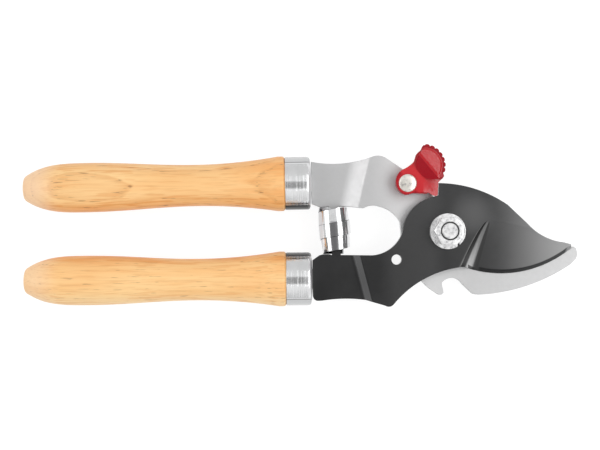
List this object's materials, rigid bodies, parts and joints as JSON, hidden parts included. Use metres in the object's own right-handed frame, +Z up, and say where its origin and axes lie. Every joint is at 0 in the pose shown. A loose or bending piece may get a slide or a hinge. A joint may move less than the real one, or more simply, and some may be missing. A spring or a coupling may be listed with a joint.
{
  "type": "pruning shears",
  "caption": "Bypass pruning shears with turned wooden handles, metal ferrules, a hooked counter blade, a volute spring and a thumb catch.",
  "frame": {"origin": "middle of the shears' box, at the height of the table that they lie on", "axes": "+X along the handles from the butts to the blade tips, +Y from the cutting blade's handle to the hook's handle, +Z up, along the pivot bolt to its nut"},
  "size_m": [0.2278, 0.0664, 0.0235],
  "materials": {
    "satin_steel": "satin ground",
    "black_coating": "satin non-stick coating",
    "ferrule_chrome": "polished",
    "ash_wood": "clear lacquer",
    "zinc": "bright zinc",
    "red_paint": "gloss red",
    "spring_chrome": "polished"
  },
  "bodies": {
    "hook_side": {"hook_arm": "satin_steel", "upper_ferrule": "ferrule_chrome", "upper_handle": "ash_wood", "pivot_bolt": "zinc", "lock_washer": "zinc", "pivot_nut": "zinc", "catch_washer": "zinc", "catch_rivet": "zinc", "spring": "spring_chrome"},
    "blade_side": {"blade_arm": "black_coating", "lower_ferrule": "ferrule_chrome", "lower_handle": "ash_wood"},
    "catch": {"catch_lever": "red_paint"}
  },
  "joints": [
    {"name": "blade_pivot", "type": "hinge", "parent": "hook_side", "child": "blade_side", "pos_m": [0.0598, -0.00261, 0.0113], "axis": [0, 0, 1], "range_deg": [0, 25], "deforming": ["spring"]},
    {"name": "catch_pivot", "type": "hinge", "parent": "hook_side", "child": "catch", "pos_m": [0.0436, 0.01729, 0.0163], "axis": [0, 0, 1], "range_deg": [0, 50]}
  ],
  "couplings": [
    {"joint": "catch_pivot", "follows": "blade_pivot", "ratio": 2}
  ]
}
